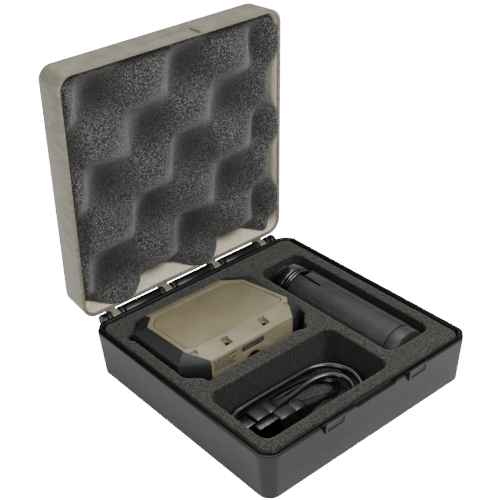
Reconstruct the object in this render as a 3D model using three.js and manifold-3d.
// A hinged hard case with foam inserts. It holds a handheld outdoor sensor unit, a folded
// pocket tripod and a coiled USB cable. Millimetres, +Z up, origin at the middle of the underside.
// X runs along the hinge, -Y is the side that opens, +Y is the hinge side.
import * as THREE from 'three';
import { mergeVertices } from 'three/addons/utils/BufferGeometryUtils.js';
import Module from 'manifold-3d';

const wasm = await Module();
wasm.setup();

// ---- driving dimensions -------------------------------------------------------------------
const GAP = 0.3; // between touching pieces
const CASE_W = 138; // across both sides, at the rim
const CASE_R = 8.8; // corner radius at the rim
const BASE_H = 28.1; // underside to the top of the rim lip
const DRAFT = 2.0; // how far each side leans in from the rim to the underside
const FLOOR = 1.6;
const PAD_TOP = 3.2; // top of the thin foam under the tray
const FOAM_TOP = 27.2;
const RIM_IN = 3.6; // from the outside face to the inside of the rim

const LID_H = 19.8;
const LID_WALL = 2.0;
const LID_DRAFT = 1.3;
const LID_OPEN = 88; // degrees from closed, as it stands at rest
const HINGE_Y = 71.5;
const HINGE_Z = 25.0;
const HINGE_X = [-51.75, -17.25, 17.25, 51.75];
const EAR_OFFSET = 4.1; // each hinge group has an ear on each side of its middle
const EAR_W = 2.6;
const EAR_R = 2.5;
const KNUCKLE_W = 5.0;
const KNUCKLE_R = 2.2;
const RIB_R = 3.5; // the rib stays inside the circle that the lid's edge sweeps
const RIB_GAP = 7.2; // half the space left in it for each hinge group
const RIB_END = 60.5;
const PIN_R = 0.8;

const CABLE_POCKET = { x: [-59.5, 21.4], y: [-57.8, -15.5], r: 5.2 };
const TRIPOD_POCKET = { x: [28.5, 58.9], y: [-51.3, 48.7], r: 5.2 };
const UNIT_POCKET = { x: [-58.8, 21.6], y: [-5.9, 56.5], chamfer: 9 };

const UNIT_X = -19.5; // middle of the sensor unit
const UNIT_Z = 3.5; // its rear face, which lies on the pad
const UNIT_FRONT = -3.2; // the side with the port and the tripod socket
const UNIT_BACK = 54.5;
const UNIT_MID = 20; // points nearer the front than this belong to the front edge
const PARTING = 13.0; // where the front and rear covers meet
const BELT_Z = 30.0; // where the side walls turn into the slopes
const PLATE_Z = 36.6; // the face plate where its front edge is
const PLATE_Y = 9.2;
const PLATE_FALL = 0.114; // the face drops this much for each mm towards the hinge
const PORT = { z: 30.2, w: 14.6, h: 3.9 };
const SOCKET_Z = 21.7;
const SOCKET_R = 4.4;

const TRIPOD_X = 43.7;
const TRIPOD_Z = 17.0;
const TRIPOD_FOOT_Y = -49.7; // the feet's end; the head points to the hinge
const LEG_R = 13.2;
const LEG_IN = 6.5;
const LEG_PIVOT = { r: 8, z: 74 };
const LEG_AZIMUTHS = { upper: 140, right: 20, lower: 260 }; // seen along the tripod
const CLIP_AZIMUTH = 80; // where the upper and right legs meet

const CABLE_R = 1.7;

// ---- finishes -----------------------------------------------------------------------------
const finish = (color, roughness, metalness = 0) => ({ color, roughness, metalness });
const BLACK_SHELL = finish(0x2b2b2d, 0.5);
const SMOKE_SHELL = finish(0xa9a496, 0.35);
const TRAY_FOAM = finish(0x3a3833, 0.95);
const LID_FOAM = finish(0x35353a, 0.95);
const TAN_SHELL = finish(0xa39a78, 0.45);
const FACE_TAN = finish(0x8a8160, 0.5);
const BUMPER = finish(0x1d2126, 0.6);
const REAR_SHELL = finish(0x1b1c1e, 0.55);
const RUBBER = finish(0x121212, 0.8);
const STEEL = finish(0xb9b9b6, 0.25, 1);
const GOLD = finish(0xc9a85a, 0.3, 1);
const BRASS = finish(0xb08d4c, 0.35, 1);
const GLASS = finish(0x0b0d10, 0.1);
const BOARD = finish(0x1f5a33, 0.5);
const CELL = finish(0x3c4a66, 0.4);
const LEG_GREY = finish(0x34363a, 0.6);
const FOOT_GREY = finish(0x55585a, 0.5);
const CLIP_GREY = finish(0x3f4642, 0.5);
const HEAD_BLACK = finish(0x101216, 0.35);
const CABLE_BLACK = finish(0x0c0c0d, 0.25);

// ---- helpers ------------------------------------------------------------------------------
const rad = THREE.MathUtils.degToRad;

/** A closed geometry as a solid that can be joined and cut. */
function solid(geometry) {
  const bare = geometry.clone();
  bare.deleteAttribute('normal');
  bare.deleteAttribute('uv');
  const merged = mergeVertices(bare, 1e-4);
  return new wasm.Manifold(new wasm.Mesh({
    numProp: 3,
    vertProperties: new Float32Array(merged.attributes.position.array),
    triVerts: new Uint32Array(merged.index.array),
  }));
}

/** A solid back to a geometry. */
function geometryOf(body) {
  const mesh = body.getMesh();
  const geometry = new THREE.BufferGeometry();
  geometry.setAttribute('position', new THREE.BufferAttribute(mesh.vertProperties, 3));
  geometry.setIndex(new THREE.BufferAttribute(mesh.triVerts, 1));
  geometry.computeVertexNormals();
  return geometry;
}

const join = (first, ...more) => more.reduce((a, b) => a.add(b), first);
const cut = (first, ...tools) => tools.reduce((a, b) => a.subtract(b), first);

/** A rounded rectangle's outline, counter-clockwise. Its left corners may have their own radius. */
function roundedOutline(x0, x1, y0, y1, r, steps = 5, left = r) {
  const corners = [
    [x1 - r, y0 + r, -90, r], [x1 - r, y1 - r, 0, r],
    [x0 + left, y1 - left, 90, left], [x0 + left, y0 + left, 180, left],
  ];
  const points = [];
  for (const [cx, cy, start, radius] of corners) {
    for (let i = 0; i <= steps; i++) {
      const a = rad(start + (90 * i) / steps);
      points.push([cx + radius * Math.cos(a), cy + radius * Math.sin(a)]);
    }
  }
  return points;
}

/** A closed skin through rings of points of equal count, capped at both ends. */
function loft(rings) {
  const n = rings[0].length;
  const positions = rings.flat(2);
  const index = [];
  for (let k = 0; k + 1 < rings.length; k++) {
    for (let i = 0; i < n; i++) {
      const a = k * n + i;
      const b = k * n + ((i + 1) % n);
      index.push(a, b, b + n, a, b + n, a + n);
    }
  }
  const flat = (ring) => ring.map(([x, y]) => new THREE.Vector2(x, y));
  const cap = (ring) => THREE.ShapeUtils.triangulateShape(flat(ring), []);
  for (const [a, b, c] of cap(rings[0])) {
    index.push(a, c, b);
  }
  const last = (rings.length - 1) * n;
  for (const [a, b, c] of cap(rings[rings.length - 1])) {
    index.push(last + a, last + b, last + c);
  }
  const geometry = new THREE.BufferGeometry();
  geometry.setAttribute('position', new THREE.Float32BufferAttribute(positions, 3));
  geometry.setIndex(index);
  return solid(geometry);
}

/** A ring of the case's outline at height z, moved in from the outside by inset. */
function caseRing(z, inset, steps = 5) {
  const half = CASE_W / 2 - inset;
  const r = Math.max(CASE_R - inset, 1.5);
  return roundedOutline(-half, half, -half, half, r, steps).map(([x, y]) => [x, y, z]);
}

/** An outline extruded upwards from z0 to z1. */
function prism(outline, z0, z1, holes = []) {
  const shape = new THREE.Shape(outline.map(([x, y]) => new THREE.Vector2(x, y)));
  shape.holes = holes.map((hole) => new THREE.Path(hole.map(([x, y]) => new THREE.Vector2(x, y))));
  const geometry = new THREE.ExtrudeGeometry(shape, { depth: z1 - z0, bevelEnabled: false });
  geometry.translate(0, 0, z0);
  return solid(geometry);
}

/** An outline of [y, z] points extruded along X. */
function prismX(outline, x0, x1) {
  const shape = new THREE.Shape(outline.map(([y, z]) => new THREE.Vector2(y, z)));
  const geometry = new THREE.ExtrudeGeometry(shape, { depth: x1 - x0, bevelEnabled: false });
  geometry.applyMatrix4(new THREE.Matrix4().set(0, 0, 1, x0, 1, 0, 0, 0, 0, 1, 0, 0, 0, 0, 0, 1));
  return solid(geometry);
}

/** An outline of [x, z] points extruded along Y. */
function prismY(outline, y0, y1) {
  const shape = new THREE.Shape(outline.map(([x, z]) => new THREE.Vector2(x, z)));
  const geometry = new THREE.ExtrudeGeometry(shape, { depth: y1 - y0, bevelEnabled: false });
  geometry.applyMatrix4(new THREE.Matrix4().set(1, 0, 0, 0, 0, 0, -1, y1, 0, 1, 0, 0, 0, 0, 0, 1));
  return solid(geometry);
}

function box(x0, x1, y0, y1, z0, z1) {
  const geometry = new THREE.BoxGeometry(x1 - x0, y1 - y0, z1 - z0);
  geometry.translate((x0 + x1) / 2, (y0 + y1) / 2, (z0 + z1) / 2);
  return solid(geometry);
}

/** A round bar along one axis ('x', 'y' or 'z'), centred at (x, y, z). */
function rod(radius, length, axis, [x, y, z], sides = 12) {
  const geometry = new THREE.CylinderGeometry(radius, radius, length, sides);
  if (axis === 'x') geometry.rotateZ(Math.PI / 2);
  if (axis === 'z') geometry.rotateX(Math.PI / 2);
  geometry.translate(x, y, z);
  return solid(geometry);
}

/** A turned piece about Z, from a closed [radius, height] profile. */
function turned(profile, sides = 20) {
  const points = profile.map(([r, z]) => new THREE.Vector2(r, z));
  const geometry = new THREE.LatheGeometry(points, sides);
  geometry.rotateX(Math.PI / 2);
  return solid(geometry);
}

const object = new THREE.Group();

/** Adds a named sub-part to a group. */
function add(name, body, look, parent = object) {
  const material = new THREE.MeshStandardMaterial(look);
  const mesh = new THREE.Mesh(geometryOf(body), material);
  mesh.name = name;
  parent.add(mesh);
}

// ---- case base ----------------------------------------------------------------------------
const LEDGE_Z = BASE_H - 0.8; // the outer ledge that the lid's rim comes down over
const innerInset = (z) => RIM_IN + (DRAFT / 2) * (1 - z / BASE_H);
const outerInset = (z) => DRAFT * (1 - z / BASE_H);

function baseTub() {
  return loft([
    caseRing(0, outerInset(0) + 0.9),
    caseRing(0.9, outerInset(0.9)),
    caseRing(LEDGE_Z - 1.0, outerInset(LEDGE_Z)),
    caseRing(LEDGE_Z, 0.5),
    caseRing(LEDGE_Z, 1.8),
    caseRing(BASE_H, 1.9),
    caseRing(BASE_H, 2.9),
    caseRing(FOAM_TOP - 0.6, RIM_IN),
    caseRing(FLOOR, innerInset(FLOOR)),
  ]);
}

/** One ear that holds a hinge pin, on the back wall. */
function hingeEar(x) {
  const arc = [];
  for (let i = 0; i <= 6; i++) {
    const a = rad(-90 + 30 * i);
    arc.push([HINGE_Y + EAR_R * Math.cos(a), HINGE_Z + EAR_R * Math.sin(a)]);
  }
  const root = CASE_W / 2 - 1.2;
  const outline = [[root, HINGE_Z - EAR_R - 4], ...arc, [root, HINGE_Z + EAR_R - 0.8]];
  return prismX(outline, x - EAR_W / 2, x + EAR_W / 2);
}

const LUG_X = 28; // the two catch lugs stand this far each side of the middle
const LUG_W = 13;
const LUG_PROUD = 1.2;

/** A catch lug: a shallow frame on the front wall whose lip stands above the rim. */
function catchLug(x) {
  const front = -CASE_W / 2;
  const plate = box(x - LUG_W / 2, x + LUG_W / 2, front - LUG_PROUD, front + 1.2, BASE_H - 4.6, LEDGE_Z);
  const lip = box(x - LUG_W / 2, x + LUG_W / 2, front - LUG_PROUD, front - 0.4, LEDGE_Z - 1, BASE_H + 1.1);
  const half = LUG_W / 2 - 1;
  const dish = box(x - half, x + half, front - 2, front - 0.7, BASE_H - 3.8, BASE_H + 0.4);
  return cut(join(plate, lip), dish);
}

/** A rib behind the back wall, on the hinge's axis, that closes the gap below the open lid. */
function hingeRib(x0, x1) {
  const arc = [];
  for (let i = 0; i <= 8; i++) {
    const a = rad(-80 + 24 * i);
    arc.push([HINGE_Y + RIB_R * Math.cos(a), HINGE_Z + RIB_R * Math.sin(a)]);
  }
  const root = CASE_W / 2 - 1.2;
  return prismX([[root, HINGE_Z - RIB_R - 3], ...arc, [root, LEDGE_Z]], x0, x1);
}

function buildBase() {
  let tub = baseTub();
  const edges = [-RIB_END, ...HINGE_X.flatMap((x) => [x - RIB_GAP, x + RIB_GAP]), RIB_END];
  for (let i = 0; i < edges.length; i += 2) {
    tub = join(tub, hingeRib(edges[i], edges[i + 1]));
  }
  for (const x of HINGE_X) {
    tub = join(tub, hingeEar(x - EAR_OFFSET), hingeEar(x + EAR_OFFSET));
    tub = cut(tub, rod(PIN_R + GAP, 12.4, 'x', [x, HINGE_Y, HINGE_Z]));
  }
  for (const side of [-1, 1]) {
    tub = join(tub, catchLug(side * LUG_X));
    const notch = side * LUG_X - LUG_W / 2 - 1.6;
    tub = cut(tub, box(notch, notch + 1.2, -72, -CASE_W / 2 + 1.4, BASE_H - 2.2, BASE_H + 2));
  }
  const scallop = [[-14.6, BASE_H + 1], [-12.8, LEDGE_Z - 1.4], [12.8, LEDGE_Z - 1.4], [14.6, BASE_H + 1]];
  tub = cut(tub, prismY(scallop, -72, -CASE_W / 2 + 1.7));
  add('base_shell', tub, BLACK_SHELL);
  HINGE_X.forEach((x, i) => add(`hinge_pin_${i + 1}`, rod(PIN_R, 11.6, 'x', [x, HINGE_Y, HINGE_Z]), STEEL));
}

// ---- foam ---------------------------------------------------------------------------------
const outlineOf = ({ x, y, r }) => roundedOutline(x[0], x[1], y[0], y[1], r);

function unitPocketOutline() {
  const { x, y, chamfer: c } = UNIT_POCKET;
  return [
    [x[0] + c, y[0]], [x[1] - c, y[0]], [x[1], y[0] + c], [x[1], y[1] - c],
    [x[1] - c, y[1]], [x[0] + c, y[1]], [x[0], y[1] - c], [x[0], y[0] + c],
  ];
}

/** Small square reliefs where the knife turned at the unit pocket's corners. */
function cornerReliefs(z0, z1) {
  const { x, y } = UNIT_POCKET;
  const half = 2.6;
  const along = 9.5;
  const across = 1.2;
  const spots = [
    [x[0] + along, y[0] + across], [x[1] - along, y[0] + across],
    [x[0] + across, y[1] - along], [x[1] - across, y[1] - along],
  ];
  return spots.map(([cx, cy]) => box(cx - half, cx + half, cy - half, cy + half, z0, z1));
}

function buildFoam() {
  const low = PAD_TOP + GAP;
  const side = (z) => innerInset(z) + GAP;
  const block = loft([
    caseRing(low, side(low)),
    caseRing(FOAM_TOP - 0.8, side(FOAM_TOP)),
    caseRing(FOAM_TOP, side(BASE_H)),
  ]);
  const tray = cut(
    block,
    prism(outlineOf(CABLE_POCKET), 0, 40),
    prism(outlineOf(TRIPOD_POCKET), 0, 40),
    prism(unitPocketOutline(), 0, 40),
    ...cornerReliefs(0, 40),
  );
  add('foam_tray', tray, TRAY_FOAM);
  const under = FLOOR + 0.25;
  add('foam_floor_pad', loft([caseRing(under, side(under)), caseRing(PAD_TOP, side(under))]), TRAY_FOAM);
}

// ---- lid, drawn closed and then swung open -------------------------------------------------
const LID_RIM = BASE_H + GAP;
const LID_TOP = LID_RIM + LID_H;
const lid = new THREE.Group();
lid.position.set(0, HINGE_Y, HINGE_Z);
lid.rotation.x = -rad(LID_OPEN);
const lidClosed = new THREE.Group();
lidClosed.position.set(0, -HINGE_Y, -HINGE_Z);
lid.add(lidClosed);
object.add(lid);

/** A lid knuckle that turns on a hinge pin, between two ears. */
function lidKnuckle(x) {
  const wall = CASE_W / 2;
  const arc = [];
  for (let i = 0; i <= 7; i++) {
    const a = rad(-180 + 30 * i);
    arc.push([HINGE_Y + KNUCKLE_R * Math.cos(a), HINGE_Z + KNUCKLE_R * Math.sin(a)]);
  }
  const root = [
    [wall + 1.6, LID_RIM + 6], [wall - 1.2, LID_RIM + 6.6],
    [wall - 1.2, LID_RIM], [wall + 0.4, LID_RIM],
  ];
  const outline = [...arc, ...root];
  return prismX(outline, x - KNUCKLE_W / 2, x + KNUCKLE_W / 2);
}

/** The scooped finger recess in the middle of the lid's opening side. */
function thumbRecess() {
  const front = -CASE_W / 2;
  const outline = [
    [front - 2, LID_RIM - 1], [front + 1.15, LID_RIM - 1],
    [front + 1.5, LID_RIM + 9], [front - 2, LID_RIM + 10.4],
  ];
  return prismX(outline, -15, 15);
}

function buildLid() {
  const inner = (z) => LID_WALL + (LID_DRAFT * (z - LID_RIM)) / LID_H;
  const outside = loft([
    caseRing(LID_RIM, 0),
    caseRing(LID_TOP - 1.2, LID_DRAFT * 0.94),
    caseRing(LID_TOP, LID_DRAFT + 1.2),
  ]);
  const inside = loft([
    caseRing(LID_RIM - 1, LID_WALL),
    caseRing(LID_TOP - LID_WALL, inner(LID_TOP)),
  ]);
  let shell = cut(outside, inside);
  for (const x of HINGE_X) {
    shell = join(shell, lidKnuckle(x));
    shell = cut(shell, rod(PIN_R + GAP, 12, 'x', [x, HINGE_Y, HINGE_Z]));
  }
  shell = cut(shell, thumbRecess());
  add('lid_shell', shell, SMOKE_SHELL, lidClosed);

  // the foam is as thick here as when the closed lid presses it onto the sensor unit
  const top = LID_TOP - LID_WALL - GAP;
  const pressed = PLATE_Z + 1.4;
  const slab = loft([caseRing(pressed, inner(LID_TOP) + GAP), caseRing(top, inner(LID_TOP) + GAP)]);
  add('lid_foam', slab, LID_FOAM, lidClosed);
}

// ---- sensor unit --------------------------------------------------------------------------
const faceZ = (y) => PLATE_Z - PLATE_FALL * (y - PLATE_Y);

/** Eight points about the unit's middle, from four on each side, front to back. */
function unitRing(side, other = side) {
  const right = side.map(([half, y, z]) => [UNIT_X + half, y, z]);
  const left = other.map(([half, y, z]) => [UNIT_X - half, y, z]).reverse();
  return [...right, ...left];
}

// the right bumper is thicker than the left one and starts nearer the front
const BELT_LEFT = [[27.0, UNIT_FRONT], [38.4, 8.8], [38.4, 45.5], [27.5, UNIT_BACK]];
const BELT_RIGHT = [[27.0, UNIT_FRONT], [40.0, 5.8], [40.0, 45.5], [27.5, UNIT_BACK]];
const SHOULDER = [[26.6, UNIT_FRONT, 33.9], [33.9, 9.2], [32.1, 42.3], [25.0, 49.5]];
const PLATE = [[29.6, 7.9], [32.3, 10.2], [30.5, 41.5], [24.0, 48.0]];

/** The side walls' outline at one height, moved inwards by inset. */
function beltRing(z, inset = 0) {
  const moved = (side) => side.map(([h, y]) => [h - inset, y + (y < UNIT_MID ? inset : -inset), z]);
  return unitRing(moved(BELT_RIGHT), moved(BELT_LEFT));
}

/** The ring on the sloping face, except where a point has its own height. */
function onFace(side, lift = 0) {
  return unitRing(side.map(([h, y, z]) => [h, y, z ?? faceZ(y) + lift]));
}

/** The whole unit's outer form. */
function unitForm() {
  return loft([
    beltRing(UNIT_Z, 3.2),
    beltRing(UNIT_Z + 3.5),
    beltRing(BELT_Z),
    onFace(SHOULDER),
    onFace(PLATE),
  ]);
}

/** The region of the covers seen from above; the bumpers have what is outside it. */
function coverRegion(grow, z0, z1) {
  const half = SHOULDER.map(([h, y]) => [h + grow, y]);
  const front = UNIT_FRONT - 6;
  const side = [[half[0][0], front], ...half, [half[3][0], UNIT_BACK + 6]];
  const right = side.map(([h, y]) => [UNIT_X + h, y]);
  const left = side.map(([h, y]) => [UNIT_X - h, y]).reverse();
  return prism([...right, ...left], z0, z1);
}

/** The port's slot, drawn in by inset. */
function portOutline(inset, r) {
  const w = PORT.w / 2 - inset;
  const h = PORT.h / 2 - inset;
  return roundedOutline(UNIT_X - w, UNIT_X + w, PORT.z - h, PORT.z + h, r, 3);
}

const SCREW_X = 12.2; // the two cover screws sit each side of the middle
const screwSpot = (side) => [UNIT_X + side * SCREW_X, 2.9];

function buildCovers() {
  const form = unitForm();
  const bumpers = cut(form, coverRegion(GAP, 0, 60));
  add('bumper_left', bumpers.intersect(box(-80, UNIT_X, -20, 80, 0, 60)), BUMPER);
  add('bumper_right', bumpers.intersect(box(UNIT_X, 80, -20, 80, 0, 60)), BUMPER);

  const covers = form.intersect(coverRegion(0, 0, 60));
  const seal = 0.65; // half the space that the gasket has
  let front = covers.intersect(box(-80, 80, -20, 80, PARTING + seal, 60));
  front = cut(
    front,
    box(UNIT_X - 23, UNIT_X + 23, 6, 46, 0, 28.5),
    box(UNIT_X - 9, UNIT_X + 9, -0.9, 8, 20, 32.6),
    prismY(portOutline(0, 1.6), -6, 0),
    rod(SOCKET_R + GAP, 12, 'y', [UNIT_X, 0, SOCKET_Z], 16),
    faceRecess(),
  );
  for (const side of [-1, 1]) {
    const [x, y] = screwSpot(side);
    front = cut(front, box(x - 2.3, x + 2.3, y - 2.6, y + 2.6, 33.2, 40), rod(1.9, 10, 'z', [x, y, 31]));
  }
  add('front_cover', front, TAN_SHELL);
  add('face_plate', facePlate(), FACE_TAN);

  let rear = covers.intersect(box(-80, 80, -20, 80, 0, PARTING - seal));
  rear = cut(
    rear,
    box(UNIT_X - 23, UNIT_X + 23, 6, 46, UNIT_Z + 2, 40),
    box(UNIT_X - 17, UNIT_X + 17, 12, 40, 0, 40),
    box(UNIT_X - 19, UNIT_X + 19, 10, 42, 0, UNIT_Z + 1),
  );
  for (const [x, y] of BUTTONS) {
    rear = cut(rear, rod(2.6, 4.4, 'z', [x, y, UNIT_Z + 1]));
  }
  for (const side of [-1, 1]) {
    rear = cut(rear, rod(1.9, 8, 'z', [UNIT_X + side * 20, UNIT_BACK - 5, UNIT_Z]));
    add(side < 0 ? 'rear_screw_left' : 'rear_screw_right',
      rod(1.6, 3, 'z', [UNIT_X + side * 20, UNIT_BACK - 5, UNIT_Z + 2.1], 10), STEEL);
  }
  add('rear_cover', rear, REAR_SHELL);

  const ring = (inset) => [[UNIT_X - 25 + inset, 3 + inset], [UNIT_X + 25 - inset, 3 + inset],
    [UNIT_X + 25 - inset, 48 - inset], [UNIT_X - 25 + inset, 48 - inset]];
  add('cover_gasket', prism(ring(0), PARTING - 0.3, PARTING + 0.3, [ring(1.6).reverse()]), RUBBER);
}

/** The face plate is let into the front cover by its own thickness. */
const PLATE_T = 1.0;
function inPlate(grow) {
  return PLATE.map(([h, y]) => [h - 1.6 + grow, y + (y < UNIT_MID ? 1.2 - grow : grow - 1.2)]);
}

function faceRecess() {
  return loft([onFace(inPlate(GAP), -PLATE_T - GAP), onFace(inPlate(GAP), 4)]);
}

function facePlate() {
  return loft([onFace(inPlate(0), -PLATE_T), onFace(inPlate(0), 0)]);
}

const BUTTONS = [[UNIT_X - 22, 18], [UNIT_X - 22, 33], [UNIT_X + 22, 18], [UNIT_X + 22, 33]];

function buildUnitInside() {
  const slab = (half, y0, y1, z0, z1) => box(UNIT_X - half, UNIT_X + half, y0, y1, z0, z1);
  add('display_lens', slab(18.6, 10.4, 41.6, UNIT_Z + 0.1, UNIT_Z + 0.7), GLASS);
  add('display_panel', slab(16.6, 12.4, 39.6, UNIT_Z + 1.1, UNIT_Z + 2.6), GLASS);
  add('battery', slab(16, 10, 42, UNIT_Z + 3.0, PARTING - 0.5), CELL);
  add('main_board', slab(22, 7, 45, PARTING + 1, PARTING + 2.4), BOARD);
  add('antenna_board', slab(22, 7, 45, 26.4, 27.6), BOARD);
  BUTTONS.forEach(([x, y], i) => add(`button_${i + 1}`, rod(2.2, 2.6, 'z', [x, y, UNIT_Z + 1.4]), RUBBER));

  const shell = box(UNIT_X - 4.5, UNIT_X + 4.5, -0.6, 6.6, PORT.z - 1.6, PORT.z + 1.6);
  const mouth = box(UNIT_X - 4.1, UNIT_X + 4.1, -2, 5.6, PORT.z - 1.2, PORT.z + 1.2);
  const tongue = box(UNIT_X - 3.2, UNIT_X + 3.2, 1.2, 6, PORT.z - 0.35, PORT.z + 0.35);
  add('usb_receptacle', join(cut(shell, mouth), tongue), STEEL);
  add('port_cover', prismY(portOutline(0.4, 1.3), UNIT_FRONT + 0.2, UNIT_FRONT + 1.3), RUBBER);

  const insert = cut(
    rod(SOCKET_R, 6.4, 'y', [UNIT_X, UNIT_FRONT + 3.4, SOCKET_Z], 16),
    rod(3.1, 6, 'y', [UNIT_X, UNIT_FRONT + 2.2, SOCKET_Z], 16),
  );
  add('tripod_insert', insert, BRASS);
  for (const side of [-1, 1]) {
    const [x, y] = screwSpot(side);
    const slot = box(x - 1.1, x + 1.1, y - 0.3, y + 0.3, 32.1, 40);
    const screw = cut(rod(1.6, 4.4, 'z', [x, y, 30.6], 10), slot);
    add(side < 0 ? 'cover_screw_left' : 'cover_screw_right', screw, STEEL);
  }
}

// ---- tripod, drawn upright with its feet at zero, then laid along Y --------------------------
const tripod = new THREE.Group();
tripod.position.set(TRIPOD_X, TRIPOD_FOOT_Y, TRIPOD_Z);
tripod.rotation.x = -Math.PI / 2;
object.add(tripod);

/** A third of a tube, centred on +X, with half a gap along each edge. */
function third(rIn, rOut, z0, z1, innerSteps = 4) {
  const points = [];
  const edge = (r) => 60 - THREE.MathUtils.radToDeg(Math.asin(0.2 / r));
  for (let i = 0; i <= 8; i++) {
    const a = rad(-edge(rOut) + (2 * edge(rOut) * i) / 8);
    points.push([rOut * Math.cos(a), rOut * Math.sin(a)]);
  }
  for (let i = 0; i <= innerSteps; i++) {
    const a = rad(edge(rIn) - (2 * edge(rIn) * i) / innerSteps);
    points.push([rIn * Math.cos(a), rIn * Math.sin(a)]);
  }
  return prism(points, z0, z1);
}

const FOOT_H = 7;
const LEG_TOP = 78;
const LEG_EDGE = 8.2; // half width of a leg's skin beside and above its pivot
const LEG_SHOULDER = 61.8; // where the skin narrows to that

function buildLeg(name, azimuth) {
  const turn = new THREE.Group();
  turn.rotation.z = -rad(azimuth);
  tripod.add(turn);
  const { r, z } = LEG_PIVOT;
  const tongue = box(5.4, 11.6, -3, 3, z - 3, z + 3);
  // above the pivot a spread leg leans in, so its skin stands back from its neighbours there
  const skin = third(10.9, LEG_R, LEG_SHOULDER - 4, LEG_TOP)
    .intersect(box(0, 20, -LEG_EDGE, LEG_EDGE, 0, LEG_TOP));
  const shell = join(third(LEG_IN, LEG_R, FOOT_H + GAP, LEG_SHOULDER), skin, tongue);
  add(`leg_${name}`, cut(shell, rod(1.3, 14, 'y', [r, 0, z])), LEG_GREY, turn);
  add(`leg_pin_${name}`, rod(1.0, 11, 'y', [r, 0, z]), STEEL, turn);
  const toe = prismY([[10, -1], [15, -1], [15, 4]], -20, 20);
  const foot = cut(third(LEG_IN, LEG_R - 0.3, 0, FOOT_H), toe);
  add(`foot_${name}`, foot, FOOT_GREY, turn);
}

const BALL_Z = 88.5;

function buildTripod() {
  let hub = turned([
    [0, 68.6], [9.2, 68.6], [9.2, 79.9], [12.3, 79.9],
    [12.3, 81.0], [7, 81.0], [7, 83.0], [0, 83.0],
  ]);
  for (const azimuth of Object.values(LEG_AZIMUTHS)) {
    const slot = join(box(3.9, 14, -3.5, 3.5, 60, 78), rod(1.3, 11.6, 'y', [LEG_PIVOT.r, 0, LEG_PIVOT.z]));
    hub = cut(hub, slot.rotate([0, 0, -azimuth]));
  }
  add('tripod_hub', hub, HEAD_BLACK, tripod);
  const band = [[7.3, 81.3], [12.7, 81.3], [12.7, 82.7], [7.3, 82.7], [7.3, 81.3]];
  add('head_ring', turned(band, 28), STEEL, tripod);
  const collar = [
    [5.7, 83.4], [11.9, 83.4], [12.5, 84.0], [12.5, 89.2], [11.9, 89.8], [5.7, 89.8], [5.7, 83.4],
  ];
  add('lock_collar', turned(collar, 28), HEAD_BLACK, tripod);
  const ball = [];
  for (let i = 0; i <= 8; i++) {
    const a = rad(-90 + (145 * i) / 8);
    ball.push([Math.max(5 * Math.cos(a), 0), BALL_Z + 5 * Math.sin(a)]);
  }
  const platform = [[2.9, 93.2], [9, 93.2], [9, 94.4], [0, 94.4]];
  add('ball_platform', turned([...ball, ...platform]), HEAD_BLACK, tripod);
  const pad = [[3.2, 94.7], [8.8, 94.7], [8.4, 95.4], [3.2, 95.4], [3.2, 94.7]];
  add('platform_pad', turned(pad, 20), RUBBER, tripod);
  for (const [name, azimuth] of Object.entries(LEG_AZIMUTHS)) {
    buildLeg(name, azimuth);
  }
  const clip = new THREE.Group();
  clip.rotation.z = -rad(CLIP_AZIMUTH);
  tripod.add(clip);
  const plate = third(12.4, LEG_R, LEG_SHOULDER + GAP, 75, 16).intersect(box(0, 20, -2.9, 2.9, 0, 100));
  add('leg_clip', join(plate, box(9.5, 12.7, -1.5, 1.5, 69.5, 74.5)), CLIP_GREY, clip);
}

// ---- USB cable ----------------------------------------------------------------------------
const COIL = { x: [-57.3, 19.2], y: [-55.8, -17.5], z: [PAD_TOP + GAP, 14], band: 4.0 };
const PLUG_C = { y: -26.6, z: 9.0 };
const PLUG_A = { y: -38.4, z: 9.8 }; // this plug lies on its narrow side
const CABLE_C = [
  [-18.7, -26.6, 9.0], [-12, -26.2, 9.2], [-5, -25.6, 9.6], [2, -26.0, 10.2], [8, -28.6, 10.6],
  [12, -33.5, 10.6], [12.6, -39, 10.2], [10.2, -44.5, 9.6], [5, -48.4, 9.0], [-2, -49.7, 8.6],
  [-8, -49.8, 8.4],
];
const CABLE_A = [
  [-7.7, -38.4, 9.7], [-4, -38.4, 9.2], [1, -38.1, 7.4], [5.6, -36.8, 6.0], [8.8, -34.4, 5.4],
  [10.9, -31.0, 5.4],
];

function cableRun(points, steps) {
  const path = new THREE.CatmullRomCurve3(points.map((p) => new THREE.Vector3(...p)), false, 'centripetal');
  const section = new THREE.Shape();
  section.absarc(0, 0, CABLE_R, 0, 2 * Math.PI, false);
  const options = { steps, curveSegments: 4, extrudePath: path, bevelEnabled: false };
  return solid(new THREE.ExtrudeGeometry(section, options));
}

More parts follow.
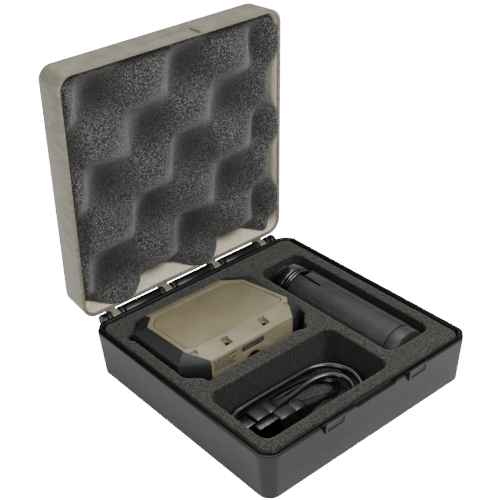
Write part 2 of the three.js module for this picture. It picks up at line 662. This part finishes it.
/** A tapered relief along X between two sizes, from the plug body to the cable. */
function relief(x0, x1, { y, z }, wide, tall) {
  const ring = (x, hy, hz) => [
    [y - hy, z - hz, x], [y + hy, z - hz, x], [y + hy, z + hz, x], [y - hy, z + hz, x],
  ];
  const along = loft([ring(x0, wide, tall), ring(x1, 2.2, 2.2)]);
  return along.transform([0, 1, 0, 0, 0, 0, 1, 0, 1, 0, 0, 0, 0, 0, 0, 1]);
}

function buildCable() {
  const { x, y, z, band } = COIL;
  const outer = roundedOutline(x[0], x[1], y[0], y[1], 19, 8, 10);
  const inner = roundedOutline(x[0] + band, x[1] - band, y[0] + band, y[1] - band, 15, 8, 6).reverse();
  add('cable_coil', prism(outer, z[0], z[1], [inner]), CABLE_BLACK);
  add('cable_run_c', cableRun(CABLE_C, 26), CABLE_BLACK);
  add('cable_run_a', cableRun(CABLE_A, 11), CABLE_BLACK);

  const c = PLUG_C;
  const around = (plug, w, h, r) => roundedOutline(plug.y - w, plug.y + w, plug.z - h, plug.z + h, r, 3);
  add('usb_c_shell', prismX(around(c, 4.15, 1.25, 1.2), -49.2, -42.6), GOLD);
  add('usb_c_body', prismX(around(c, 4.8, 2.9, 1.6), -42.3, -28), CABLE_BLACK);
  add('usb_c_relief', relief(-27.7, -19, c, 3.4, 2.6), CABLE_BLACK);
  const a = PLUG_A;
  const shell = box(-48.4, -36.4, a.y - 2.25, a.y + 2.25, a.z - 6, a.z + 6);
  const mouth = box(-50, -38, a.y - 1.85, a.y + 1.85, a.z - 5.6, a.z + 5.6);
  const contacts = box(-47.6, -37, a.y + 0.05, a.y + 1.9, a.z - 5.2, a.z + 5.2);
  add('usb_a_shell', join(cut(shell, mouth), contacts), STEEL);
  add('usb_a_body', prismX(around(a, 3.8, 6.2, 1.6), -36.1, -18.6), CABLE_BLACK);
  add('usb_a_relief', relief(-18.3, -8, a, 3.0, 4.2), CABLE_BLACK);
}

buildBase();
buildFoam();
buildLid();
buildCovers();
buildUnitInside();
buildTripod();
buildCable();

export default object;
